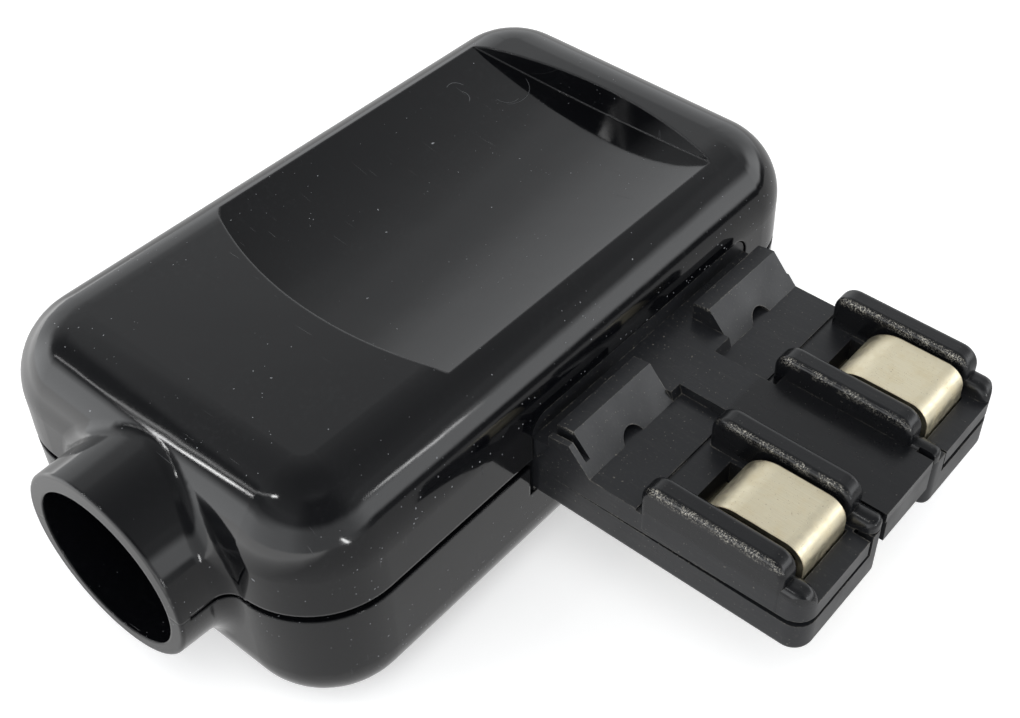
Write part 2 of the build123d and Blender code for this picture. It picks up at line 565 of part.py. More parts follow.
def strip(points, radii, y, width):
    """Return a bent metal strip from its centre line in the X-Z plane."""
    path = FilletPolyline(*[(x, z) for x, z in points], radius=radii)
    band = trace(path, line_width=STRIP_THICKNESS)
    solid = extrude(band, amount=width)
    return Pos(0, y + width / 2, 0) * Rot(90, 0, 0) * solid


def make_line_contact(bay_y, terminal_y):
    """Return a live or neutral contact, from its arch in the bay to its terminal."""
    top = STRIP_TOP_Z - STRIP_THICKNESS / 2
    x0, x1 = ARCH_X0 + STRIP_THICKNESS / 2, ARCH_X1 - STRIP_THICKNESS / 2
    tail = SPLIT_Z - STRIP_THICKNESS / 2
    points = [(WALL_X - ROOT_LENGTH, STRIP_Z), (x0, STRIP_Z), (x0 + ARCH_RISE_RUN, top)]
    points += [(x1, top), (x1, tail), (x1 - 1.6, tail)]
    contact = strip(points, (0.5, 2.6, 1.3, 0.5), bay_y, STRIP_WIDTH)
    tail_y0, tail_y1 = terminal_y - TERMINAL_WIDTH / 2, terminal_y + TERMINAL_WIDTH / 2
    low, high = max(tail_y0, bay_y - STRIP_WIDTH / 2), min(tail_y1, bay_y + STRIP_WIDTH / 2)
    contact += block(TERMINAL_X0, ROOT_X, low, high, TERMINAL_TOP, SPLIT_Z)
    contact -= rod(TERMINAL_MID_X, terminal_y, TERMINAL_TOP - 1, SPLIT_Z + 1, SCREW_R + SCREW_FIT)
    return contact


def make_earth_contact():
    """Return the earth contact, which drops through the insert to an arch on the underside."""
    ceiling = EARTH_CEILING - STRIP_THICKNESS / 2
    low = EARTH_CEILING - EARTH_ARCH_DEPTH
    drop = EARTH_DROP_X - STRIP_THICKNESS / 2
    x0, x1 = ARCH_X0 + STRIP_THICKNESS / 2, ARCH_X1 - STRIP_THICKNESS / 2
    points = [(TERMINAL_X0, STRIP_Z), (drop, STRIP_Z), (drop, ceiling), (x0, ceiling)]
    points += [(x0 + ARCH_RISE_RUN, low), (x1 - ARCH_RISE_RUN, low), (x1, ceiling)]
    contact = strip(points, (0.3, 0.3, 1.0, 2.0, 2.0), TONGUE_MID_Y, EARTH_WIDTH)
    contact -= rod(TERMINAL_MID_X, TONGUE_MID_Y, TERMINAL_TOP - 1, SPLIT_Z + 1, SCREW_R + SCREW_FIT)
    return contact


def make_terminal(y):
    """Return one terminal block with its wire hole and its screw hole."""
    wide = TERMINAL_WIDTH / 2
    body = block(TERMINAL_X0, TERMINAL_X1, y - wide, y + wide, TERMINAL_BASE, TERMINAL_TOP)
    body = chamfer(body.edges().filter_by(Axis.Z), 0.4)
    hole_z = TERMINAL_BASE + WIRE_HOLE_RISE
    body -= Pos(TERMINAL_MID_X, y, hole_z) * Rot(0, 90, 0) * Cylinder(WIRE_HOLE_R, 2 * TERMINAL_LENGTH)
    return body - rod(TERMINAL_MID_X, y, hole_z, TERMINAL_TOP + 1, SCREW_R + SCREW_FIT)


def make_terminal_screw(y):
    """Return the screw that holds a strip on its terminal and presses on the wire."""
    tip = TERMINAL_BASE + WIRE_HOLE_RISE
    return screw(TERMINAL_MID_X, y, SPLIT_Z, tip, SCREW_SIZE, True)


def make_cord_clamp():
    """Return the arched strap that holds the cord down."""
    y0, y1 = CLAMP_Y - CLAMP_WIDTH / 2, CLAMP_Y + CLAMP_WIDTH / 2
    reach = CLAMP_SCREW_PITCH / 2 + CLAMP_BOSS_R - FIT
    x0, x1 = COLLAR_X - reach, COLLAR_X + reach
    lugs = block(x0, x1, y0, y1, CLAMP_SEAT, CLAMP_SEAT + CLAMP_THICKNESS)
    lugs = fillet(lugs.edges().filter_by(Axis.Z), CLAMP_WIDTH * 0.4)
    axis = Pos(COLLAR_X, CLAMP_Y, CORD_Z) * Rot(90, 0, 0)
    arch = axis * Cylinder(CORD_R + CLAMP_THICKNESS, CLAMP_WIDTH)
    arch &= block(x0, x1, y0, y1, CLAMP_SEAT, BODY_HEIGHT)
    strap = lugs + arch - axis * Cylinder(CORD_R, 2 * CLAMP_WIDTH)
    strap -= block(COLLAR_X - CORD_R, COLLAR_X + CORD_R, y0 - 1, y1 + 1, CLAMP_SEAT - 1, CORD_Z)
    for x, y in CLAMP_SCREWS:
        strap -= rod(x, y, CLAMP_SEAT - 1, BODY_HEIGHT, SCREW_R + FIT)
    return strap


def make_threaded_insert(x, y):
    """Return a brass insert that a housing screw threads into."""
    sleeve = rod(x, y, INSERT_Z, INSERT_Z + INSERT_LENGTH, INSERT_R)
    return sleeve - rod(x, y, INSERT_Z - 1, INSERT_Z + INSERT_LENGTH + 1, SCREW_R + SCREW_FIT)


def build_parts():
    """Return every sub-part by its node name."""
    seat = HEAD_RECESS + SCREW_HEAD_HEIGHT
    tip = INSERT_Z + INSERT_LENGTH - SCREW_GAP
    clamp_seat = CLAMP_SEAT + CLAMP_THICKNESS
    parts = {
        "upper_shell": make_upper_shell(),
        "lower_shell": make_lower_shell(),
        "tongue_upper": make_tongue_upper(),
        "tongue_lower": make_tongue_lower(),
        "live_contact": make_line_contact(BAY_YS[0], TERMINAL_YS[0]),
        "neutral_contact": make_line_contact(BAY_YS[1], TERMINAL_YS[2]),
        "earth_contact": make_earth_contact(),
        "cord_clamp": make_cord_clamp(),
    }
    for name, y in zip(("live", "earth", "neutral"), TERMINAL_YS):
        parts[name + "_terminal"] = make_terminal(y)
        parts[name + "_terminal_screw"] = make_terminal_screw(y)
    for name, (x, y) in zip(("front", "rear"), HOUSING_SCREWS):
        parts[name + "_housing_screw"] = screw(x, y, seat, tip, SCREW_SIZE, False)
        parts[name + "_threaded_insert"] = make_threaded_insert(x, y)
    for name, (x, y) in zip(("left", "right"), CLAMP_SCREWS):
        parts[name + "_clamp_screw"] = screw(x, y, clamp_seat, WALL + SCREW_GAP, SCREW_SIZE, True)
    for name, (x, y) in zip(("near", "far"), PILOT_SCREWS):
        head_z, tip_z = TONGUE_BASE_Z + PILOT_HEAD_HEIGHT, PLATEAU_Z - PILOT_END_COVER - SCREW_GAP
        parts[name + "_insert_screw"] = screw(x, y, head_z, tip_z, PILOT_SIZE, False)
    return parts


if __name__ == "__main__":
    os.makedirs("parts", exist_ok=True)
    for node, shape in build_parts().items():
        export_step(shape, os.path.join("parts", node + ".step"))
        print(node, len(shape.solids()), round(shape.volume, 1))
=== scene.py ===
"""Dresses the grounded plug: plastics, contacts, fine surface detail, studio and camera."""

import json
import logging
import math
from dataclasses import dataclass, field
from enum import Enum

import bpy
from mathutils import Matrix, Vector

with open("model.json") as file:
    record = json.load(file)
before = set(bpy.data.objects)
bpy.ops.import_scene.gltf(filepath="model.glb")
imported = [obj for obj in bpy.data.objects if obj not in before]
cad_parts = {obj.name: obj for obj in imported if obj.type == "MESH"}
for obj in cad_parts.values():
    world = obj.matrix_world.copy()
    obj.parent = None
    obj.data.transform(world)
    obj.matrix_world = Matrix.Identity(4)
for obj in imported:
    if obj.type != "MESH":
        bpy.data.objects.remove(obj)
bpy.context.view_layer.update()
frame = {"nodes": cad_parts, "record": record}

logging.basicConfig(level=logging.INFO, format="%(message)s")
log = logging.getLogger("plug")

MM = 0.001
IMAGE_WIDTH = 1020
IMAGE_HEIGHT = 718

Colour = tuple[float, float, float]
Pair = tuple[float, float]
Triple = tuple[float, float, float]
Socket = bpy.types.NodeSocket


class Slot(Enum):
    """Material slots of the record."""

    HOUSING = "housing"
    INSERT = "insert"
    CONTACT = "contact"
    TERMINAL = "terminal"
    SCREW = "screw"
    CLAMP = "clamp"


@dataclass(frozen=True)
class Relief:
    """How strongly a pattern is bumped, and how deep in metres."""

    strength: float
    depth: float


class NodeTree:
    """Small helper that adds shader nodes and links them by name."""

    def __init__(self, tree: bpy.types.NodeTree) -> None:
        """Starts on an emptied node tree.

        Args:
            tree: the nodes of a material or of the world.
        """
        self.tree = tree
        self.tree.nodes.clear()
        self.source = self.add("TexCoord")
        self.coords = self.source.outputs["Object"]

    def add(self, kind: str, values: dict | None = None, **settings) -> bpy.types.Node:
        """Adds one node.

        Args:
            kind: the node's type after "ShaderNode".
            values: input sockets by name or index, each a value or a socket to link from.
            settings: the node's own properties.

        Returns:
            The new node.
        """
        node = self.tree.nodes.new("ShaderNode" + kind)
        for key, value in settings.items():
            setattr(node, key, value)
        for key, value in (values or {}).items():
            socket = node.inputs[key]
            if isinstance(value, Socket):
                self.tree.links.new(value, socket)
            else:
                socket.default_value = value
        return node

    def noise(self, scale: float, detail: float = 3.0, rough: float = 0.55) -> Socket:
        """Returns the value of a noise texture on object coordinates, its scale per metre."""
        values = {"Vector": self.coords, "Scale": scale, "Detail": detail, "Roughness": rough}
        return self.add("TexNoise", values).outputs["Fac"]

    def ramp(self, source: Socket, low: float, high: float, out_low: float = 0.0,
             out_high: float = 1.0) -> Socket:
        """Maps a value from one range to another, clamped.

        Args:
            source: the value.
            low: where the first range begins.
            high: where it ends.
            out_low: what low becomes.
            out_high: what high becomes.

        Returns:
            The mapped value.
        """
        values = {"Value": source, "From Min": low, "From Max": high, "To Min": out_low,
                  "To Max": out_high}
        return self.add("MapRange", values, clamp=True).outputs["Result"]

    def math(self, operation: str, a: Socket | float, b: Socket | float = 0.0) -> Socket:
        """Returns a math node's value."""
        return self.add("Math", {0: a, 1: b}, operation=operation).outputs[0]

    def times(self, a: Socket | float, b: Socket | float) -> Socket:
        """Returns a product."""
        return self.math("MULTIPLY", a, b)

    def most(self, a: Socket | float, b: Socket | float) -> Socket:
        """Returns the larger of two values."""
        return self.math("MAXIMUM", a, b)

    def plus(self, base: Socket, mask: Socket, share: float) -> Socket:
        """Returns base with a share of a mask added."""
        return self.math("ADD", base, self.times(mask, share))

    def vector(self, operation: str, a: Socket, b: Socket | Triple | None = None) -> bpy.types.Node:
        """Returns a vector math node."""
        values = {0: a} if b is None else {0: a, 1: b}
        return self.add("VectorMath", values, operation=operation)

    def along(self, source: Socket, direction: Triple) -> Socket:
        """Returns how far a vector reaches along a direction."""
        return self.vector("DOT_PRODUCT", source, direction).outputs["Value"]

    def axis(self, name: str) -> Socket:
        """Returns one object coordinate, in metres."""
        return self.add("SeparateXYZ", {"Vector": self.coords}).outputs[name]

    def mix(self, factor: Socket, a: Socket | Colour, b: Socket | Colour) -> Socket:
        """Mixes two colours.

        Args:
            factor: the share of the second.
            a: the first colour.
            b: the second colour.

        Returns:
            The mixed colour.
        """
        node = self.add("Mix", data_type="RGBA")
        pairs = ((node.inputs["Factor"], factor), (node.inputs[6], a), (node.inputs[7], b))
        for socket, value in pairs:
            if isinstance(value, Socket):
                self.tree.links.new(value, socket)
            else:
                socket.default_value = (*value, 1.0)
        return node.outputs[2]

    def tint(self, base: Socket | Colour, mask: Socket, share: float, colour: Colour) -> Socket:
        """Returns base with a share of a colour laid on by a mask."""
        return self.mix(self.times(mask, share), base, colour)

    def bevelled(self, radius: float, samples: int) -> Socket:
        """Returns the normal rounded at sharp edges by radius in metres."""
        return self.add("Bevel", {"Radius": radius}, samples=samples).outputs["Normal"]

    def edges(self, radius: float, samples: int = 6, flat: float = 0.985,
              sharp: float = 0.90) -> Socket:
        """Returns a mask of the sharp edges.

        Args:
            radius: the mask's width in metres.
            samples: rays to each point.
            flat: the agreement of both normals where the mask begins.
            sharp: the agreement where it is full.

        Returns:
            The mask.
        """
        plain = self.add("NewGeometry").outputs["Normal"]
        same = self.vector("DOT_PRODUCT", self.bevelled(radius, samples), plain)
        return self.ramp(same.outputs["Value"], flat, sharp)

    def bump(self, height: Socket, relief: Relief, normal: Socket | None = None) -> Socket:
        """Bumps the surface.

        Args:
            height: the pattern.
            relief: its strength and depth.
            normal: the normal under it, where it isn't the surface's own.

        Returns:
            The bumped normal.
        """
        values = {"Height": height, "Strength": relief.strength, "Distance": relief.depth}
        if normal is not None:
            values["Normal"] = normal
        return self.add("Bump", values).outputs["Normal"]


class MaterialTree(NodeTree):
    """The nodes of one material."""

    def __init__(self, name: str) -> None:
        """Starts an empty material.

        Args:
            name: the material's name.
        """
        self.material = bpy.data.materials.new(name)
        self.material.use_nodes = True
        super().__init__(self.material.node_tree)

    def finish(self, values: dict) -> bpy.types.Material:
        """Adds the surface shader and the output.

        Args:
            values: the shader's inputs by name.

        Returns:
            The material.
        """
        shader = self.add("BsdfPrincipled", values)
        self.add("OutputMaterial", {"Surface": shader.outputs["BSDF"]})
        return self.material


@dataclass(frozen=True)
class Cloud:
    """Soft patches: a noise's scale per metre, the values mapped to 0 and 1, detail and roughness."""

    scale: float
    low: float
    high: float
    detail: float = 3.0
    rough: float = 0.55

    def build(self, tree: NodeTree, out_low: float = 0.0, out_high: float = 1.0) -> Socket:
        """Returns the patches' mask, from out_low to out_high."""
        patches = tree.noise(self.scale, self.detail, self.rough)
        return tree.ramp(patches, self.low, self.high, out_low, out_high)


@dataclass(frozen=True)
class Specks:
    """Small round specks: cells to the metre, a speck's share of its cell, and the share left empty."""

    scale: float
    radius: float
    empty: float
    warp_scale: float = 1.7
    warp: float = 0.5
    core: float = 0.6

    def build(self, tree: NodeTree) -> Socket:
        """Builds the specks.

        Args:
            tree: the material's nodes.

        Returns:
            The mask.
        """
        noise = {"Vector": tree.coords, "Scale": self.scale * self.warp_scale, "Detail": 2.0}
        shift = self.warp / self.scale
        moved = tree.vector("MULTIPLY", tree.add("TexNoise", noise).outputs["Color"], (shift,) * 3)
        place = tree.vector("ADD", tree.coords, moved.outputs["Vector"]).outputs["Vector"]
        cells = tree.add("TexVoronoi", {"Vector": place, "Scale": self.scale, "Randomness": 1.0})
        near = tree.ramp(cells.outputs["Distance"], self.radius * self.core, self.radius, 1.0, 0.0)
        chance = tree.add("SeparateColor", {"Color": cells.outputs["Color"]}).outputs["Red"]
        return tree.times(near, tree.math("GREATER_THAN", chance, self.empty))


@dataclass(frozen=True)
class Streaks:
    """Long thin marks: their turn about Z in degrees, scale along each axis, and where they begin."""

    turn: float
    scale: Triple
    low: float
    high: float

    def build(self, tree: NodeTree) -> Socket:
        """Builds the marks.

        Args:
            tree: the material's nodes.

        Returns:
            The mask.
        """
        values = {"Vector": tree.coords, "Rotation": (0.0, 0.0, math.radians(self.turn)),
                  "Scale": self.scale}
        place = tree.add("Mapping", values).outputs["Vector"]
        marks = tree.add("TexNoise", {"Vector": place, "Scale": 1.0, "Detail": 2.0, "Roughness": 0.5})
        return tree.ramp(marks.outputs["Fac"], self.low, self.high)


@dataclass(frozen=True)
class Nick:
    """A fine curved mark on the top: the centre, radius and width of its arc, and the way it lies."""

    centre: Pair
    radius: float
    toward: Pair
    width: float = 0.00004
    ends: Pair = (0.55, 0.7)
    above: Pair = (0.0170, 0.0172)

    def build(self, tree: NodeTree) -> Socket:
        """Builds the mark.

        Args:
            tree: the material's nodes.

        Returns:
            The mask.
        """
        flat = tree.vector("MULTIPLY", tree.coords, (1.0, 1.0, 0.0)).outputs["Vector"]
        place = tree.vector("SUBTRACT", flat, (*self.centre, 0.0)).outputs["Vector"]
        reach = tree.vector("LENGTH", place).outputs["Value"]
        off = tree.math("ABSOLUTE", tree.math("SUBTRACT", reach, self.radius))
        line = tree.ramp(off, self.width * 0.5, self.width, 1.0, 0.0)
        side = tree.along(place, (*self.toward, 0.0))
        arc = tree.ramp(side, self.radius * self.ends[0], self.radius * self.ends[1])
        upper = tree.ramp(tree.axis("Z"), *self.above)
        return tree.times(tree.times(line, arc), upper)


@dataclass(frozen=True)
class PolishedPlastic:
    """Glossy moulded black plastic with clouds of wipe marks, hairline scratches and dust."""

    name: str = "housing_black"
    colour: Colour = (0.0026, 0.0028, 0.0036)
    dust_colour: Colour = (0.34, 0.35, 0.37)
    roughness: float = 0.055
    wiped_roughness: float = 0.05
    smear_roughness: float = 0.05
    dust_roughness: float = 0.5
    scratch_roughness: float = 0.25
    wiping: Cloud = Cloud(130.0, 0.42, 0.68, 5.0, 0.6)
    smear: Streaks = Streaks(24.0, (60.0, 900.0, 60.0), 0.55, 0.75)
    hairlines: tuple[Streaks, Streaks] = (
        Streaks(31.0, (140.0, 5200.0, 300.0), 0.735, 0.76),
        Streaks(-22.0, (160.0, 6100.0, 300.0), 0.74, 0.765),
    )
    hairline_areas: Cloud = Cloud(95.0, 0.52, 0.64, 2.0)
    nicks: tuple[Nick, ...] = (
        Nick((-0.0090, 0.0138), 0.0007, (0.30, 0.95)),
        Nick((-0.0096, 0.0141), 0.0009, (-0.90, 0.40)),
        Nick((-0.0071, 0.0171), 0.0011, (0.80, -0.60)),
        Nick((-0.0079, 0.0176), 0.0022, (0.95, 0.30)),
    )
    dust: tuple[Specks, Specks] = (Specks(1500.0, 0.10, 0.93), Specks(620.0, 0.075, 0.955))
    lint: Specks = Specks(3600.0, 0.18, 0.90)
    lint_areas: Cloud = Cloud(150.0, 0.5, 0.62)
    corner_dust: tuple[Specks, Specks] = (Specks(2600.0, 0.17, 0.80), Specks(1300.0, 0.10, 0.86))
    corner_x: Pair = (0.0150, 0.0158)
    corner_z: Pair = (0.0185, 0.0165)
    film: Cloud = Cloud(2600.0, 0.5, 0.8, 4.0)
    film_share: float = 0.018
    scratch_share: float = 0.16
    dust_share: float = 0.7
    edge: float = 0.00022
    edge_samples: int = 5
    wave_scale: float = 230.0
    wave: Relief = Relief(0.07, 0.00025)
    ripple_scale: float = 1500.0
    ripple: Relief = Relief(0.03, 0.00003)
    marks: Relief = Relief(0.5, 0.00002)

    def scratches(self, tree: NodeTree) -> Socket:
        """Builds the hairlines and nicks.

        Args:
            tree: the material's nodes.

        Returns:
            The mask.
        """
        first, second = self.hairlines
        mask = tree.most(first.build(tree), second.build(tree))
        mask = tree.times(mask, self.hairline_areas.build(tree))
        for nick in self.nicks:
            mask = tree.most(mask, nick.build(tree))
        return mask

    def specks(self, tree: NodeTree) -> Socket:
        """Builds the dust, the lint and what has gathered in the corner by the tongue.

        Args:
            tree: the material's nodes.

        Returns:
            The mask.
        """
        mask = tree.most(self.dust[0].build(tree), self.dust[1].build(tree))
        mask = tree.most(mask, tree.times(self.lint.build(tree), self.lint_areas.build(tree)))
        corner = tree.times(tree.ramp(tree.axis("X"), *self.corner_x),
                            tree.ramp(tree.axis("Z"), *self.corner_z))
        gathered = tree.most(self.corner_dust[0].build(tree), self.corner_dust[1].build(tree))
        return tree.most(mask, tree.times(corner, gathered))

    def build(self) -> bpy.types.Material:
        """Builds the material.

        Returns:
            The material.
        """
        tree = MaterialTree(self.name)
        wiped = self.wiping.build(tree)
        scratches = self.scratches(tree)
        dust = self.specks(tree)
        film = tree.times(self.film.build(tree), self.film_share)
        colour = tree.mix(tree.times(wiped, film), self.colour, self.dust_colour)
        colour = tree.tint(colour, scratches, self.scratch_share, self.dust_colour)
        colour = tree.tint(colour, dust, self.dust_share, self.dust_colour)
        rough = tree.ramp(wiped, 0.0, 1.0, self.roughness, self.roughness + self.wiped_roughness)
        rough = tree.plus(rough, self.smear.build(tree), self.smear_roughness)
        rough = tree.plus(rough, dust, self.dust_roughness)
        rough = tree.plus(rough, scratches, self.scratch_roughness)
        normal = tree.bevelled(self.edge, self.edge_samples)
        normal = tree.bump(tree.noise(self.wave_scale, 1.0), self.wave, normal)
        normal = tree.bump(tree.noise(self.ripple_scale, 2.0), self.ripple, normal)
        normal = tree.bump(tree.math("SUBTRACT", dust, scratches), self.marks, normal)
        return tree.finish({"Base Color": colour, "Roughness": rough, "Normal": normal})


@dataclass(frozen=True)
class Ribs:
    """The guard ribs of the insert: where they are, how they are made darker and glossier, and the
    painted highlights on their near edges.

    Each pair says where a band begins and where it is full: heights and X in metres, facing as the
    normal's Y.
    """

    colour: Colour = (0.003, 0.0032, 0.004)
    share: float = 0.7
    gloss: float = 0.10
    band: Pair = (0.0128, 0.0134)
    reach: Pair = (0.0245, 0.0250)
    # Painted highlight: pale sparkles on the ribs' near edges, where they face −Y.
    painted_highlight: Colour = (0.78, 0.74, 0.64)
    painted_highlight_share: float = 0.75
    painted_highlight_height: Pair = (0.0150, 0.0156)
    painted_highlight_facing: Pair = (-0.25, -0.55)
    spots: Cloud = Cloud(9000.0, 0.50, 0.62, 3.0, 0.7)
    patches: Cloud = Cloud(700.0, 0.38, 0.62, 3.0, 0.6)

    def area(self, tree: NodeTree) -> Socket:
        """Returns the ribs' mask."""
        return tree.times(tree.ramp(tree.axis("Z"), *self.band), tree.ramp(tree.axis("X"), *self.reach))

    def painted_highlights(self, tree: NodeTree) -> Socket:
        """Builds the painted highlights: sparkling spots on the ribs' near edges, which face −Y.

        Args:
            tree: the material's nodes.

        Returns:
            The mask.
        """
        normal = tree.add("SeparateXYZ", {"Vector": tree.add("NewGeometry").outputs["Normal"]})
        band = tree.times(tree.ramp(tree.axis("Z"), *self.painted_highlight_height),
                          tree.ramp(normal.outputs["Y"], *self.painted_highlight_facing))
        return tree.times(band, tree.times(self.spots.build(tree), self.patches.build(tree)))


@dataclass(frozen=True)
class SatinPlastic:
    """Satin moulded plastic with a fine grain, pale edges that are partly wear and partly a painted edge
    highlight, dust in its corners, and painted highlights on its ribs.
    """

    name: str = "insert_black"
    colour: Colour = (0.012, 0.0128, 0.0150)
    # Pale colour of wear, grain and dust, also used for the painted edge highlight.
    worn_and_highlight: Colour = (0.30, 0.28, 0.24)
    roughness: float = 0.34
    gloss_swing: float = 0.07
    matte_swing: float = 0.09
    dust_roughness: float = 0.2
    cloudy: Cloud = Cloud(260.0, 0.3, 0.7, 4.0)
    grain_scale: float = 3800.0
    grain_tops: Pair = (0.6, 0.85)
    grain_share: float = 0.10
    drawn: Streaks = Streaks(0.0, (240.0, 4200.0, 4200.0), 0.5, 0.8)
    drawn_share: float = 0.02
    edge: float = 0.00016
    edge_share: float = 0.55
    rubbing: Cloud = Cloud(520.0, 0.44, 0.62, 5.0, 0.7)
    rubbing_grain: Cloud = Cloud(7000.0, 0.35, 0.6)
    dust: tuple[Specks, Specks] = (Specks(1700.0, 0.13, 0.88), Specks(4200.0, 0.2, 0.85))
    corner_dust: tuple[Specks, Specks] = (Specks(2600.0, 0.17, 0.78), Specks(1100.0, 0.10, 0.84))
    corner_x: Pair = (0.0215, 0.0175)
    dust_share: float = 0.4
    ribs: Ribs = Ribs()
    grain_relief: Relief = Relief(0.16, 0.00003)
    drawn_relief: Relief = Relief(0.08, 0.00003)
    dust_relief: Relief = Relief(0.4, 0.00002)

    def specks(self, tree: NodeTree) -> Socket:
        """Builds the dust, thicker next to the housing.

        Args:
            tree: the material's nodes.

        Returns:
            The mask.
        """
        mask = tree.most(self.dust[0].build(tree), self.dust[1].build(tree))
        gathered = tree.most(self.corner_dust[0].build(tree), self.corner_dust[1].build(tree))
        return tree.most(mask, tree.times(gathered, tree.ramp(tree.axis("X"), *self.corner_x)))

    def build(self) -> bpy.types.Material:
        """Builds the material.

        Returns:
            The material.
        """
        tree = MaterialTree(self.name)
        grain = tree.noise(self.grain_scale)
        drawn = self.drawn.build(tree)
        dust = self.specks(tree)
        patchy = tree.times(self.rubbing.build(tree), self.rubbing_grain.build(tree))
        rubbed_and_highlit_edges = tree.times(tree.edges(self.edge), patchy)
        rib = self.ribs.area(tree)
        tops = tree.ramp(grain, *self.grain_tops, 0.0, self.grain_share)
        colour = tree.mix(tops, self.colour, self.worn_and_highlight)
        colour = tree.tint(colour, drawn, self.drawn_share, self.worn_and_highlight)
        colour = tree.tint(colour, dust, self.dust_share, self.worn_and_highlight)
        # Pale sharp edges in patches: partly wear, partly a painted edge highlight.
        colour = tree.tint(colour, rubbed_and_highlit_edges, self.edge_share, self.worn_and_highlight)
        colour = tree.tint(colour, rib, self.ribs.share, self.ribs.colour)
        # Painted highlight: pale sparkles laid on the ribs' near edges, which face −Y.
        colour = tree.tint(colour, self.ribs.painted_highlights(tree), self.ribs.painted_highlight_share, self.ribs.painted_highlight)
        rough = self.cloudy.build(tree, self.roughness - self.gloss_swing,
                                  self.roughness + self.matte_swing)
        rough = tree.math("SUBTRACT", rough, tree.times(rib, self.ribs.gloss))
        rough = tree.plus(rough, dust, self.dust_roughness)
        normal = tree.bump(grain, self.grain_relief)
        normal = tree.bump(drawn, self.drawn_relief, normal)
        normal = tree.bump(dust, self.dust_relief, normal)
        return tree.finish({"Base Color": colour, "Roughness": rough, "Normal": normal})


@dataclass(frozen=True)
class WornMetal:
    """Metal with a drawn grain, tarnish in clouds, dark pits and stained edges."""

    name: str
    colour: Colour
    dark: Colour
    stain: Colour
    roughness: float = 0.30
    gloss_swing: float = 0.08
    matte_swing: float = 0.12
    tarnish: Cloud = Cloud(520.0, 0.48, 0.72, 5.0, 0.65)
    tarnish_share: float = 0.45
    tarnish_roughness: float = 0.12
    grain_scale: float = 2600.0
    grain_swing: Pair = (0.3, 0.75)
    drawn: Streaks = Streaks(4.0, (500.0, 9000.0, 9000.0), 0.35, 0.75)
    drawn_share: float = 0.18
    pits: tuple[Specks, Specks] = (Specks(2400.0, 0.16, 0.80), Specks(6200.0, 0.26, 0.72))
    pit_share: float = 0.5
    edge: float = 0.0002
    edge_stain: Cloud = Cloud(900.0, 0.35, 0.6, 4.0)
    edge_shares: Pair = (0.15, 0.75)
    grain_relief: Relief = Relief(0.15, 0.00002)
    drawn_relief: Relief = Relief(0.12, 0.00002)
    pit_relief: Relief = Relief(0.35, 0.00002)

    def build(self) -> bpy.types.Material:
        """Builds the material.

        Returns:
            The material.
        """
        tree = MaterialTree(self.name)
        tarnish = self.tarnish.build(tree)
        grain = tree.noise(self.grain_scale, 4.0)
        drawn = self.drawn.build(tree)
        pits = tree.most(self.pits[0].build(tree), self.pits[1].build(tree))
        colour = tree.tint(self.colour, tarnish, self.tarnish_share, self.dark)
        colour = tree.tint(colour, drawn, self.drawn_share, self.dark)
        colour = tree.tint(colour, pits, self.pit_share, self.stain)
        edge = tree.times(tree.edges(self.edge), self.edge_stain.build(tree, *self.edge_shares))
        colour = tree.mix(edge, colour, self.stain)
        rough = tree.ramp(grain, *self.grain_swing, self.roughness - self.gloss_swing,
                          self.roughness + self.matte_swing)
        rough = tree.plus(rough, tarnish, self.tarnish_roughness)
        normal = tree.bump(grain, self.grain_relief)
        normal = tree.bump(drawn, self.drawn_relief, normal)
        normal = tree.bump(tree.math("SUBTRACT", 0.0, pits), self.pit_relief, normal)
        values = {"Base Color": colour, "Roughness": rough, "Normal": normal, "Metallic": 1.0}
        return tree.finish(values)


@dataclass
class Dressing:
    """Gives every solid of the plug the finish of its slot."""

    finishes: dict = field(default_factory=lambda: {
        Slot.HOUSING: PolishedPlastic(),
        Slot.INSERT: SatinPlastic(),
        Slot.CONTACT: WornMetal("contact_plating", (0.97, 0.89, 0.67), (0.84, 0.72, 0.47),
                                (0.30, 0.19, 0.09), roughness=0.42, pit_share=0.28),
        Slot.TERMINAL: WornMetal("terminal_brass", (0.78, 0.58, 0.28), (0.52, 0.36, 0.15),
                                 (0.20, 0.12, 0.05), pit_share=0.25),
        Slot.SCREW: WornMetal("screw_steel", (0.62, 0.62, 0.63), (0.40, 0.39, 0.37),
                              (0.16, 0.14, 0.12), pit_share=0.2),
        Slot.CLAMP: SatinPlastic("clamp_grey", (0.05, 0.05, 0.055), (0.20, 0.20, 0.20), 0.42),
    })

    def apply(self) -> None:
        """Builds each finish once and puts it on its solids."""
        made = {slot: finish.build() for slot, finish in self.finishes.items()}
        for part in frame["record"]["subparts"]:
            solid = frame["nodes"][part["node"]]
            solid.data.materials.clear()
            solid.data.materials.append(made[Slot(part["material_slot"])])
            log.info("dressed %s", part["node"])


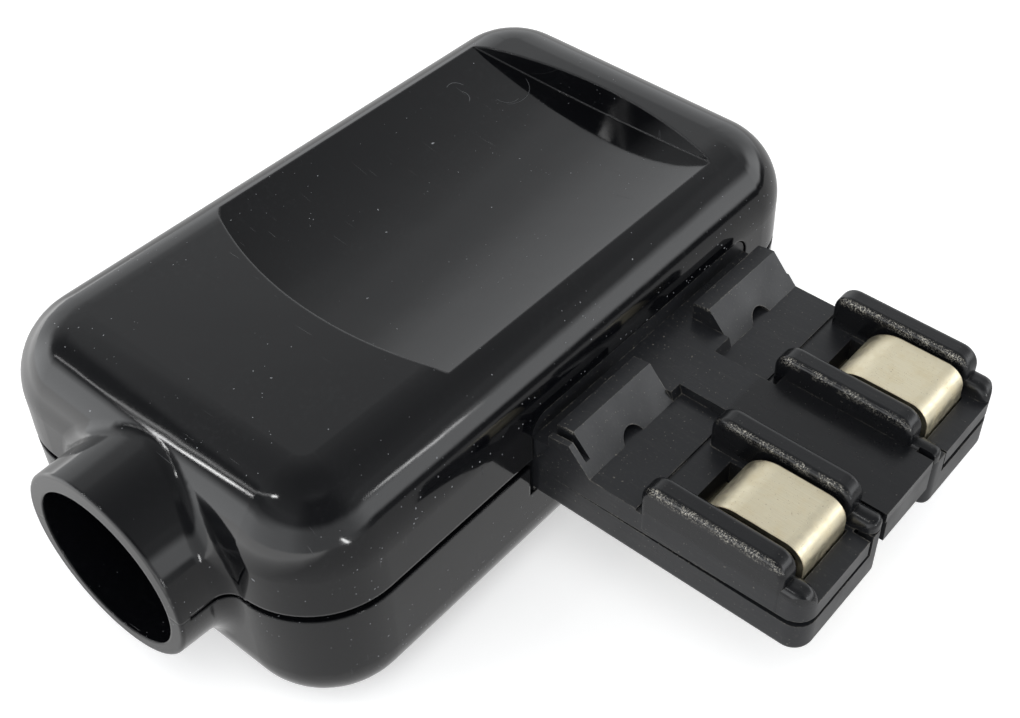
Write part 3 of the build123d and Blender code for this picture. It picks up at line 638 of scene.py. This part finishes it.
@dataclass(frozen=True)
class Wall:
    """One soft wall of the room: a pale panel over its foot, then a gap, and dimmer wall to the ceiling.

    Heights are sines of the elevation, and brightness is 1 for white.
    """

    toward: Pair
    panel: float
    panel_top: float
    gap: float
    gap_top: float
    upper: float = 0.5
    foot_top: float = 0.0
    foot: float = 0.1
    ceiling: float = 0.25
    ceiling_height: float = 0.99
    reach: float = 0.2
    soft: Triple = (0.07, 0.12, 0.05)
    least_weight: float = 0.03
    falloff: float = 6.0

    def levels(self) -> tuple[Pair, ...]:
        """Lists the wall's brightness by height.

        Returns:
            Pairs of a height and the brightness there, from the level up.
        """
        foot_soft, panel_soft, gap_soft = self.soft
        levels = ((0.0, self.panel),)
        if self.foot_top:
            levels = ((0.0, self.foot), (self.foot_top, self.foot),
                      (self.foot_top + foot_soft, self.panel))
        return levels + ((self.panel_top, self.panel), (self.panel_top + panel_soft, self.gap),
                         (self.gap_top, self.gap), (self.gap_top + gap_soft, self.upper),
                         (self.ceiling_height, self.ceiling))

    def build(self, tree: NodeTree, height: Socket) -> Socket:
        """Builds the wall's brightness.

        Args:
            tree: the world's nodes.
            height: the sine of the elevation.

        Returns:
            The brightness.
        """
        levels = self.levels()
        peak = max(level for _, level in levels)
        ramp = tree.add("ValToRGB", {"Fac": height})
        stops = ramp.color_ramp.elements
        while len(stops) > 1:
            stops.remove(stops[-1])
        for index, (at, level) in enumerate(levels):
            stop = stops[0] if index == 0 else stops.new(at)
            stop.position = at
            stop.color = (level / peak, level / peak, level / peak, 1.0)
        return tree.times(ramp.outputs["Color"], peak)

    def weight(self, tree: NodeTree, level: Socket) -> Socket:
        """Builds how much the wall counts.

        Args:
            tree: the world's nodes.
            level: the level direction, of length 1.

        Returns:
            The weight.
        """
        facing = tree.along(level, (*self.toward, 0.0))
        share = tree.ramp(facing, self.reach, 1.0, self.least_weight)
        return tree.math("POWER", share, self.falloff)


@dataclass(frozen=True)
class Strip:
    """A narrow lamp between two directions, each azimuth from +Y towards +X and elevation in degrees.

    The width is in metres, and the glow is 1 for white.
    """

    name: str
    start: Pair
    end: Pair
    width: float
    glow: float
    distance: float = 0.8

    def build(self) -> None:
        """Adds the lamp, facing the plug."""
        ends = []
        for azimuth, elevation in (self.start, self.end):
            a, e = math.radians(azimuth), math.radians(elevation)
            way = Vector((math.sin(a) * math.cos(e), math.cos(a) * math.cos(e), math.sin(e)))
            ends.append(way * self.distance)
        along = ends[1] - ends[0]
        place = (ends[0] + ends[1]) / 2
        back = place.normalized()
        across = back.cross(along.normalized())
        power = self.glow * math.pi * along.length * self.width
        lamp = area_lamp(self.name, (along.length, self.width), power)
        matrix = Matrix((along.normalized(), across, back)).transposed().to_4x4()
        matrix.translation = place
        lamp.matrix_world = matrix


def area_lamp(name: str, size: Pair, power: float) -> bpy.types.Object:
    """Adds an oblong lamp at the origin.

    Args:
        name: the lamp's name.
        size: its width and height in metres.
        power: its power in watts.

    Returns:
        The lamp.
    """
    data = bpy.data.lights.new(name, "AREA")
    data.shape = "RECTANGLE"
    data.size, data.size_y = size
    data.energy = power
    lamp = bpy.data.objects.new(name, data)
    bpy.context.scene.collection.objects.link(lamp)
    return lamp


@dataclass
class Studio:
    """Floor, lamps, world and camera."""

    azimuth: float = 36.44
    elevation: float = 44.49
    roll: float = 2.25
    offset: Triple = (14.77, 5.06, 123.9)
    focal_px: float = 1514.0
    centre_px: Pair = (620.0, 348.0)
    sensor_width: float = 36.0
    clip: Pair = (0.005, 10.0)
    floor_size: float = 2.0
    floor_drop: float = 0.00002
    floor_colour: Colour = (0.9, 0.9, 0.9)
    floor_glow: float = 0.45
    # Painted light on the floor, seen only in glossy and transmission rays: the direction in which it
    # grows brighter, where, and how bright.
    floor_light_side: Triple = (-0.45, -0.89, 0.0)
    floor_light_band: Pair = (0.034, 0.078)
    painted_floor_levels: Pair = (0.64, 2.3)
    room_colour: Colour = (0.97, 0.985, 1.0)
    walls: tuple[Wall, ...] = (
        Wall((-0.66, -0.75), panel=3.0, panel_top=0.34, gap=0.17, gap_top=0.68),
        Wall((-0.15, -0.99), panel=1.7, panel_top=0.46, gap=0.5, gap_top=0.72, upper=0.4),
        Wall((0.94, -0.34), panel=0.95, panel_top=0.46, gap=0.15, gap_top=0.9, upper=0.35),
        Wall((0.76, 0.65), panel=2.4, panel_top=0.42, gap=0.55, gap_top=0.66, upper=0.43, foot_top=0.1),
        Wall((-0.45, 0.89), panel=1.0, panel_top=0.48, gap=0.78, gap_top=0.66, upper=0.6),
        Wall((-0.95, 0.30), panel=1.1, panel_top=0.42, gap=0.7, gap_top=0.74),
    )
    strips: tuple[Strip, ...] = (
        Strip("tube", (-129.0, 28.0), (-159.0, 57.0), 0.014, 5.0),
        Strip("spot", (-136.0, 31.5), (-139.5, 35.5), 0.026, 24.0),
        Strip("spark", (-154.0, 53.0), (-159.0, 57.0), 0.03, 22.0),
        Strip("window", (59.0, 27.0), (63.0, 32.0), 0.025, 9.0),
        Strip("pane", (99.0, -2.0), (106.0, 9.0), 0.03, 26.0),
    )
    key_place: Triple = (0.15, -0.2, 0.5)
    key_aim: Triple = (0.005, 0.0, 0.01)
    key_size: Pair = (0.4, 0.4)
    key_power: float = 1.1

    def floor(self) -> None:
        """Adds the pale floor under the plug; to glossy and transmission rays it is a painted glow,
        brighter towards the front left.
        """
        bpy.ops.mesh.primitive_plane_add(size=self.floor_size, location=(0, 0, -self.floor_drop))
        floor = bpy.context.object
        floor.name = "floor"
        tree = MaterialTree("floor_white")
        path = tree.add("LightPath")
        across = tree.along(tree.coords, self.floor_light_side)
        # Painted light: what glossy surfaces mirror of the floor glows brighter towards the front left.
        painted_floor_light = tree.ramp(across, *self.floor_light_band, *self.painted_floor_levels)
        other = tree.most(path.outputs["Is Glossy Ray"], path.outputs["Is Transmission Ray"])
        diffuse = tree.add("BsdfDiffuse", {"Color": (*self.floor_colour, 1.0)})
        glow = tree.times(path.outputs["Is Camera Ray"], self.floor_glow)
        lift = tree.add("Emission", {"Color": (1, 1, 1, 1), "Strength": glow})
        seen = tree.add("AddShader", {0: diffuse.outputs[0], 1: lift.outputs[0]})
        # Painted light: the floor's glow in glossy and transmission rays.
        pale = tree.add("Emission", {"Color": (1, 1, 1, 1), "Strength": painted_floor_light})
        pick = tree.add("MixShader", {0: other, 1: seen.outputs[0], 2: pale.outputs[0]})
        tree.add("OutputMaterial", {"Surface": pick.outputs[0]})
        floor.data.materials.append(tree.material)

    def world(self) -> None:
        """Sets a room with soft pale walls, which shows as white behind the plug."""
        world = bpy.data.worlds.new("studio")
        bpy.context.scene.world = world
        world.use_nodes = True
        tree = NodeTree(world.node_tree)
        direction = tree.source.outputs["Generated"]
        height = tree.add("SeparateXYZ", {"Vector": direction}).outputs["Z"]
        flat = tree.vector("MULTIPLY", direction, (1.0, 1.0, 0.0)).outputs["Vector"]
        level = tree.vector("NORMALIZE", flat).outputs["Vector"]
        total, weights = 0.0, 0.0
        for wall in self.walls:
            weight = wall.weight(tree, level)
            total = tree.math("ADD", total, tree.times(weight, wall.build(tree, height)))
            weights = tree.math("ADD", weights, weight)
        glow = tree.math("DIVIDE", total, weights)
        room = tree.add("Background", {"Color": (*self.room_colour, 1.0), "Strength": glow})
        white = tree.add("Background", {"Color": (1.0, 1.0, 1.0, 1.0)})
        seen = tree.add("LightPath").outputs["Is Camera Ray"]
        pick = tree.add("MixShader", {0: seen, 1: room.outputs[0], 2: white.outputs[0]})
        tree.add("OutputWorld", {"Surface": pick.outputs[0]})

    def key(self) -> None:
        """Adds the soft overhead lamp, which glossy surfaces don't mirror."""
        lamp = area_lamp("key", self.key_size, self.key_power)
        lamp.location = self.key_place
        lamp.visible_glossy = False
        aim = Vector(self.key_aim) - lamp.location
        lamp.rotation_euler = aim.to_track_quat("-Z", "Y").to_euler()

    def camera(self) -> None:
        """Adds the camera at the photograph's viewing angle."""
        a, e, r = (math.radians(v) for v in (self.azimuth, self.elevation, self.roll))
        back = Vector((math.sin(a) * math.cos(e), -math.cos(a) * math.cos(e), math.sin(e)))
        level = Vector((math.cos(a), math.sin(a), 0.0))
        upright = back.cross(level)
        right = level * math.cos(r) + upright * math.sin(r)
        up = upright * math.cos(r) - level * math.sin(r)
        place = (right * self.offset[0] + up * self.offset[1] + back * self.offset[2]) * MM
        data = bpy.data.cameras.new("camera")
        data.sensor_width = self.sensor_width
        data.lens = self.focal_px / IMAGE_WIDTH * data.sensor_width
        data.shift_x = (IMAGE_WIDTH / 2 - self.centre_px[0]) / IMAGE_WIDTH
        data.shift_y = (self.centre_px[1] - IMAGE_HEIGHT / 2) / IMAGE_WIDTH
        data.clip_start, data.clip_end = self.clip
        camera = bpy.data.objects.new("camera", data)
        bpy.context.scene.collection.objects.link(camera)
        matrix = Matrix((right, up, back)).transposed().to_4x4()
        matrix.translation = place
        camera.matrix_world = matrix
        bpy.context.scene.camera = camera

    def build(self) -> None:
        """Builds the whole set."""
        self.floor()
        self.world()
        self.key()
        for strip in self.strips:
            strip.build()
        self.camera()
        bpy.context.scene.view_settings.view_transform = "Standard"
        log.info("studio ready")


def main() -> None:
    """Builds the dressing in order."""
    Studio().build()
    Dressing().apply()


if __name__ == "__main__":
    main()
